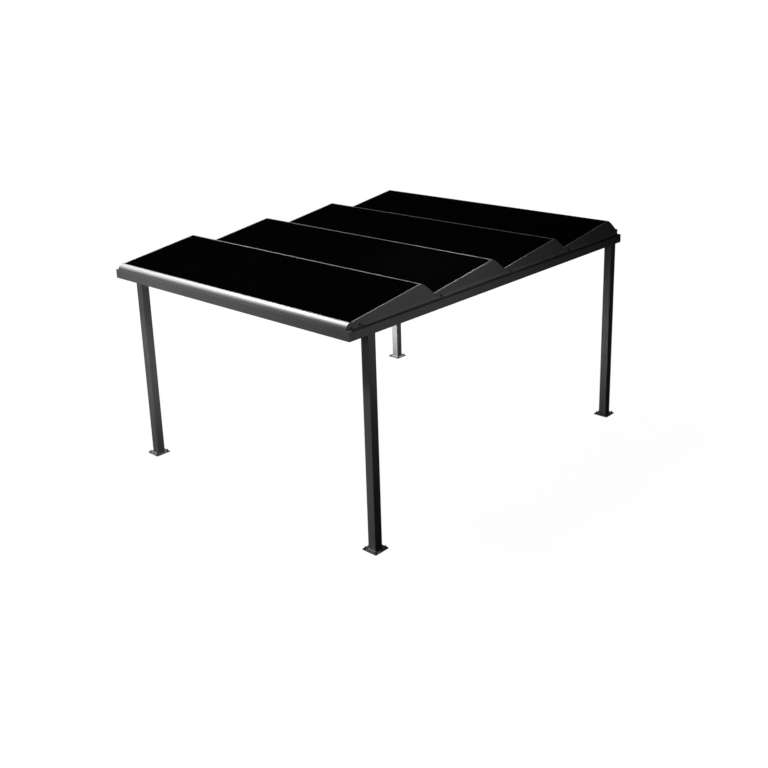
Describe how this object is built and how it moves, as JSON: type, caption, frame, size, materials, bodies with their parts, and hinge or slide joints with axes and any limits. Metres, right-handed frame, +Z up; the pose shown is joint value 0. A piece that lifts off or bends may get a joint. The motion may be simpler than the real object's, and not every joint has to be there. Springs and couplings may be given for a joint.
{
  "type": "solar carport",
  "caption": "Open flat-topped carport on square posts with base plates, its roof a sawtooth of black solar modules with curved backs in a slim beam frame.",
  "frame": {"origin": "centre of the part's footprint, on the ground under the base plates", "axes": "+Z up, -Y to the front with the rounded nose, +X to the right as seen from the front"},
  "size_m": [3.83, 4.88, 2.597],
  "materials": {
    "frame_coat": "satin anthracite powder coat on aluminium beams",
    "post_coat": "satin anthracite powder coat on steel tube",
    "cladding_coat": "satin anthracite powder coat on aluminium sheet",
    "nose": "glossier anthracite powder coat on a rounded aluminium profile",
    "base_plate": "powder coated plate with dulled edges",
    "solar_module": "black cells under glass in a black frame",
    "rail": "mill finish extrusion",
    "seal": "matt black extruded seal"
  },
  "bodies": {
    "root": {"base_plate_front_left": "base_plate", "base_plate_front_right": "base_plate", "base_plate_rear_left": "base_plate", "base_plate_rear_right": "base_plate", "corner_caps": "frame_coat", "front_beam": "frame_coat", "front_nose": "nose", "front_rail": "rail", "left_beam": "frame_coat", "left_nose_end": "cladding_coat", "left_seal": "seal", "left_side_plate_1": "cladding_coat", "left_side_plate_2": "cladding_coat", "left_side_plate_3": "cladding_coat", "left_side_plate_4": "cladding_coat", "post_front_left": "post_coat", "post_front_right": "post_coat", "post_rear_left": "post_coat", "post_rear_right": "post_coat", "rear_beam": "frame_coat", "rear_kerb": "cladding_coat", "ridge_rails": "rail", "right_beam": "frame_coat", "right_nose_end": "cladding_coat", "right_seal": "seal", "right_side_plate_1": "cladding_coat", "right_side_plate_2": "cladding_coat", "right_side_plate_3": "cladding_coat", "right_side_plate_4": "cladding_coat", "riser_1": "cladding_coat", "riser_2": "cladding_coat", "riser_3": "cladding_coat", "riser_4": "cladding_coat", "solar_module_1_a": "solar_module", "solar_module_1_b": "solar_module", "solar_module_2_a": "solar_module", "solar_module_2_b": "solar_module", "solar_module_3_a": "solar_module", "solar_module_3_b": "solar_module", "solar_module_4_a": "solar_module", "solar_module_4_b": "solar_module", "valley_gutter_1": "rail", "valley_gutter_2": "rail", "valley_gutter_3": "rail"}
  },
  "joints": []
}
